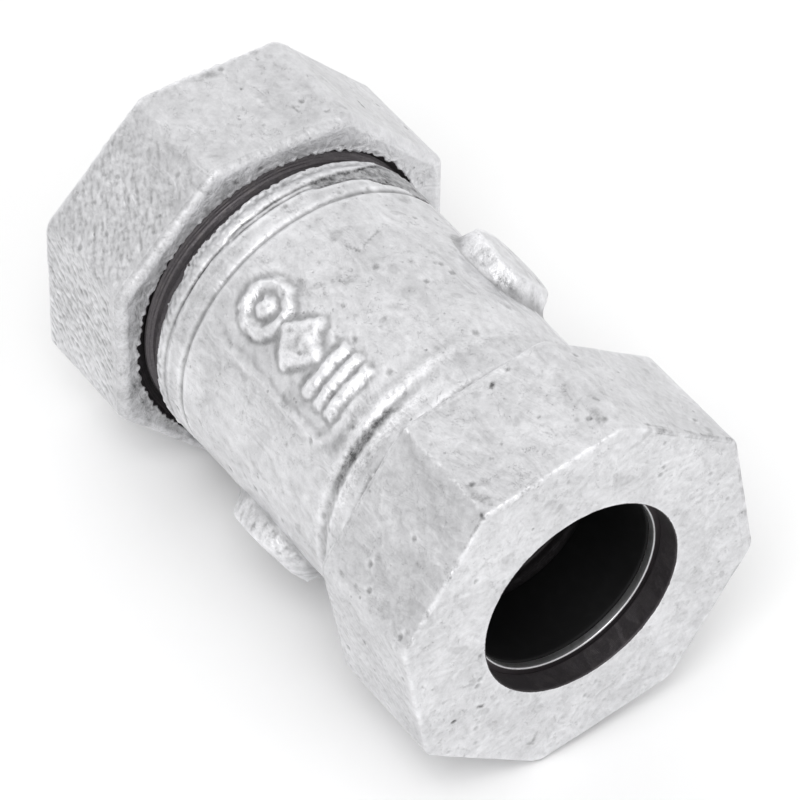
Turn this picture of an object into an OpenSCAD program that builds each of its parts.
// Straight compression coupling for plain-end steel pipe, half-inch nominal size.
// A cast body carries an octagonal compression nut on each end. Each nut presses
// a retainer washer against a tapered rubber gasket that grips the pipe.
//
// Frame: origin on the bore axis, midway between the outer faces of the two nuts.
// +X runs along the bore towards the right-hand nut, +Z is up. Millimetres.

/* [Overall] */
// Length over the outer faces of both nuts
overall_length = 69.2; // [69:0.1:72]
// Number of segments in drawn circles
facets = 96; // [48:16:160]

/* [Compression nuts] */
// Width across the flats of each octagonal nut
across_flats = 41; // [40.6:0.1:43]
// Height of a nut along the bore
nut_height = 14.8; // [14.4:0.1:15]
// Thickness of the nut's plain end wall
nut_wall = 2.7; // [2.4:0.1:2.8]
// Radius of the plain hole in the end wall
nut_mouth_r = 11.7; // [11.3:0.1:12.2]
// Width of the bevel along the nut's outer edges
nut_bevel = 0.8; // [0.3:0.1:1.2]
// Rotation of the right-hand nut about the bore axis
right_nut_turn = 10.9; // [0:0.1:44]

/* [Body] */
// Distance from the centre to each end of the body
body_half_length = 27.4; // [27.3:0.05:27.5]
// Radius of the cast barrel
barrel_r = 17.6; // [17.5:0.05:17.8]
// Radius of the bore through the body
body_bore_r = 11.0; // [10.95:0.05:11.2]
// Radius over the crests of the body's threads
thread_crest_r = 17.45; // [17.3:0.05:17.45]
// Depth of the body's threads
thread_depth = 1.05; // [0.6:0.05:1.1]
// Distance from one thread to the next
thread_pitch = 1.814; // [1.8:0.002:1.82]
// Distance of each side lug's flat top from the bore axis
lug_top = 20.2; // [18.5:0.1:20.4]
// Width of each side lug at its root
lug_width = 9.6; // [7:0.2:10]
// Length of each side lug along the bore
lug_length = 12.4; // [10:0.2:15]
// Direction of the first lug about the bore axis, counted from +Y
lug_angle = 40; // [30:1:45]
// Height of the raised foundry mark above the barrel
mark_height = 0.5; // [0.2:0.05:0.6]

/* [Seal pack] */
// Thickness of a retainer washer
washer_t = 1.0; // [0.9:0.05:1.05]
// Radius of the hole in a retainer washer
washer_hole_r = 10.9; // [10.8:0.05:11]
// Outside radius of a retainer washer's rim
washer_rim_r = 16.0; // [15.9:0.02:16.05]
// Radius of the gasket's hole
gasket_hole_r = 10.75; // [10.72:0.01:10.8]
// Outside radius of the gasket's thick end
gasket_back_r = 14.4; // [14.2:0.05:14.4]
// Outside radius of the gasket's thin nose
gasket_nose_r = 12.3; // [12.25:0.01:12.35]
// Length of the gasket's taper
gasket_taper = 6.0; // [5.9:0.05:6.05]
// Radius of the armour coil's section
coil_r = 0.42; // [0.3:0.02:0.42]

/* [Hidden] */

zinc = [0.80, 0.81, 0.82];
steel = [0.62, 0.63, 0.64];
rubber = [0.07, 0.07, 0.075];
brass = [0.72, 0.58, 0.32];

// Places along the bore, all measured from the centre towards the right
nut_outer_x = overall_length / 2;
nut_inner_x = nut_outer_x - nut_height;
shoulder_x = nut_outer_x - nut_wall;             // inner face of the nut's end wall
washer_outer_x = shoulder_x - 0.05;
washer_inner_x = washer_outer_x - washer_t;      // also the back of the gasket
rim_x = body_half_length + 1.9;                  // datum for the washer rim's inner end
nose_x = body_half_length - gasket_taper;        // gasket nose; its taper ends at the body's end
seat_bottom_x = nose_x - thread_pitch - 0.186;   // bottom of the gasket recess

// Gasket seat: runs parallel to the gasket's taper
taper_slope = (gasket_back_r - gasket_nose_r) / gasket_taper;
seat_gap = thread_pitch * taper_slope + 0.055;   // room for one turn of tightening
function seat_r(x) = gasket_nose_r + taper_slope * (x - nose_x) + seat_gap;

// Body threads, drawn as separate grooves
thread_start_x = 19.2;
end_bevel = 0.9;
thread_end_x = body_half_length - end_bevel;
thread_count = floor((thread_end_x - thread_start_x) / thread_pitch);
// One groove: [share of the depth, share of the pitch]
groove_points = [[0, 0], [1, 0.40], [1, 0.50], [0, 0.90]];

// Outside of the barrel, outwards from its plain middle: [radius above barrel_r, x]
barrel_points = [
    [0, 12.3], [-0.35, 12.9], [-0.35, 13.6], [0.05, 14.4], [0.05, 15.3],
    [-0.2, 15.6], [-0.2, 15.9], [0.02, 16.2], [0.02, 17.3]];
barrel_end_x = 17.7;                             // where the barrel drops to the crest radius

// Side lugs: a narrow top step on a wider root step
lug_base = 14.5;                                 // distance of the buried base from the axis
lug_step_drop = 0.9;                             // root step's top below the lug's top
lug_step_inset = 1.6;                            // top step's loss of width and length
lug_root_corner_r = 3.4;
lug_top_corner_r = 2.6;
lug_spacing = 175;                               // angle from the first lug to the second
lug_centres_x = [1.4, 2.1];

mark_angle = 39;                                 // from +Z towards -Y
mark_base = 15.5;                                // distance of the buried base from the axis

// Inside of the nut
nut_thread_r = thread_crest_r + 0.10;            // opened up to run clear of the crests
nut_lead_in = [0.4, 0.7];                        // [extra radius, length] at the open end
nut_recess_r = washer_rim_r + 0.2;               // clears the washer's rim
cut_overrun = 1;

// Seal pack details
rim_bevel = 0.3;
rim_inner_r = washer_rim_r - 0.9;
flange_r = rim_inner_r - 0.1;                    // gasket flange inside the washer's rim
flange_x = rim_x + 0.15;
coil_ring_r = (gasket_hole_r + gasket_nose_r) / 2;
groove_half_width = coil_r + 0.03;
groove_bottom_x = nose_x + 2 * coil_r + 0.1;
coil_x = nose_x + coil_r + 0.04;

// Revolves a profile of [radius, x] points about the bore axis
module turned() {
    rotate([0, 90, 0]) rotate_extrude($fn = facets) children();
}

// Turns a right-hand piece end for end when the left one is wanted
module end_for_end(left) {
    rotate([0, 0, left ? 180 : 0]) children();
}

// ---- Body ----

// Right half of the body's outside, from the barrel outwards
function body_outside() = concat(
    [for (point = barrel_points) [barrel_r + point[0], point[1]]],
    [[thread_crest_r, barrel_end_x]],
    [for (k = [0:thread_count - 1], point = groove_points)
        [thread_crest_r - point[0] * thread_depth, thread_start_x + (k + point[1]) * thread_pitch]],
    [[thread_crest_r, thread_end_x], [thread_crest_r - end_bevel, body_half_length]]);

// Right half of the body's inside, from the mouth inwards
function body_inside() = [
    [seat_r(body_half_length), body_half_length],
    [seat_r(seat_bottom_x), seat_bottom_x],
    [body_bore_r, seat_bottom_x]];

// The same profile on the left half, in reverse order
function mirrored(points) =
    [for (i = [len(points) - 1:-1:0]) [points[i][0], -points[i][1]]];

// Rectangle with rounded corners; its length lies along the bore
module lug_plan(length, width, corner_r) {
    union() {
        square([length - 2 * corner_r, width], center = true);
        square([length, width - 2 * corner_r], center = true);
        for (side_x = [-1, 1], side_y = [-1, 1])
            translate([side_x * (length / 2 - corner_r), side_y * (width / 2 - corner_r)])
                circle(r = corner_r, $fn = 40);
    }
}

module lug(angle, x) {
    rotate([angle, 0, 0]) translate([x, 0, 0]) rotate([-90, 0, 0]) union() {
        translate([0, 0, lug_base])
            linear_extrude(lug_top - lug_base)
                lug_plan(lug_length - lug_step_inset, lug_width - lug_step_inset,
                         lug_top_corner_r);
        translate([0, 0, lug_base])
            linear_extrude(lug_top - lug_step_drop - lug_base)
                lug_plan(lug_length, lug_width, lug_root_corner_r);
    }
}

// Generic foundry mark: a ringed disc, a lozenge and three bars in a row along the bore
module mark_plan() {
    ring_x = -6.3;
    ring_outer_r = 3.2;
    ring_inner_r = 2.1;
    disc_r = 0.9;
    lozenge_side = 4.6;
    first_bar_x = 4.7;
    bar_pitch = 1.9;
    bar_size = [0.95, 6.4];

    translate([ring_x, 0]) difference() {
        circle(r = ring_outer_r, $fn = 48);
        circle(r = ring_inner_r, $fn = 48);
    }
    translate([ring_x, 0]) circle(r = disc_r, $fn = 32);
    rotate(45) square(lozenge_side, center = true);
    for (k = [0:2])
        translate([first_bar_x + k * bar_pitch, 0]) square(bar_size, center = true);
}

// The mark's top is trimmed to follow the barrel
module foundry_mark() {
    intersection() {
        rotate([mark_angle, 0, 0]) translate([0, 0, mark_base]) linear_extrude(4) mark_plan();
        rotate([0, 90, 0])
            cylinder(h = 30, r = barrel_r + mark_height, center = true, $fn = facets);
    }
}

module coupling_body() {
    color(zinc) union() {
        turned() polygon(concat(mirrored(body_outside()), body_outside(),
                                body_inside(), mirrored(body_inside())));
        lug(lug_angle, lug_centres_x[0]);
        lug(lug_angle + lug_spacing, lug_centres_x[1]);
        foundry_mark();
    }
}

// ---- Nuts ----

// Octagonal prism whose flats face the directions 0, 45, 90 degrees about the bore
module octagon(flats, from_x, to_x) {
    half_side_angle = 22.5;
    translate([from_x, 0, 0]) rotate([0, 90, 0]) rotate([0, 0, half_side_angle])
        cylinder(h = to_x - from_x, r = flats / 2 / cos(half_side_angle), $fn = 8);
}

module nut(left, turn) {
    color(zinc) rotate([turn, 0, 0]) end_for_end(left) difference() {
        hull() {
            octagon(across_flats, nut_inner_x + nut_bevel, nut_outer_x - nut_bevel);
            octagon(across_flats - 2 * nut_bevel, nut_inner_x, nut_outer_x);
        }
        turned() polygon([
            [0, nut_inner_x - cut_overrun],
            [nut_thread_r + nut_lead_in[0], nut_inner_x - cut_overrun],
            [nut_thread_r + nut_lead_in[0], nut_inner_x],
            [nut_thread_r, nut_inner_x + nut_lead_in[1]],
            [nut_thread_r, rim_x],
            [nut_recess_r, rim_x + 0.4],
            [nut_recess_r, shoulder_x],
            [nut_mouth_r, shoulder_x],
            [nut_mouth_r, nut_outer_x + cut_overrun],
            [0, nut_outer_x + cut_overrun]]);
    }
}

// ---- Seal pack ----

// Pressed washer with a short rim that centres it in the nut
module retainer(left) {
    rim_end_x = rim_x + 0.1;
    color(steel) end_for_end(left) turned() polygon([
        [washer_hole_r, washer_inner_x],
        [washer_hole_r, washer_outer_x],
        [washer_rim_r - rim_bevel, washer_outer_x],
        [washer_rim_r, washer_outer_x - rim_bevel],
        [washer_rim_r, rim_end_x],
        [rim_inner_r, rim_end_x],
        [rim_inner_r, washer_inner_x]]);
}

// Tapered gasket with a groove in its nose for the armour coil
module gasket(left) {
    color(rubber) end_for_end(left) turned() polygon([
        [gasket_hole_r, washer_inner_x],
        [flange_r, washer_inner_x],
        [flange_r, flange_x],
        [gasket_back_r, flange_x],
        [gasket_back_r, body_half_length],
        [gasket_nose_r, nose_x],
        [coil_ring_r + groove_half_width, nose_x],
        [coil_ring_r + groove_half_width, groove_bottom_x],
        [coil_ring_r - groove_half_width, groove_bottom_x],
        [coil_ring_r - groove_half_width, nose_x],
        [gasket_hole_r, nose_x]]);
}

// Closed ring that stands for the wound armour coil
module armour_coil(left) {
    color(brass) end_for_end(left) translate([coil_x, 0, 0])
        turned() translate([coil_ring_r, 0]) circle(r = coil_r, $fn = 24);
}

// ---- Nodes ----

module nut_left() nut(left = true, turn = 0);
module nut_right() nut(left = false, turn = right_nut_turn);
module retainer_left() retainer(left = true);
module retainer_right() retainer(left = false);
module gasket_left() gasket(left = true);
module gasket_right() gasket(left = false);
module armour_coil_left() armour_coil(left = true);
module armour_coil_right() armour_coil(left = false);

coupling_body();
nut_left();
nut_right();
retainer_left();
retainer_right();
gasket_left();
gasket_right();
armour_coil_left();
armour_coil_right();
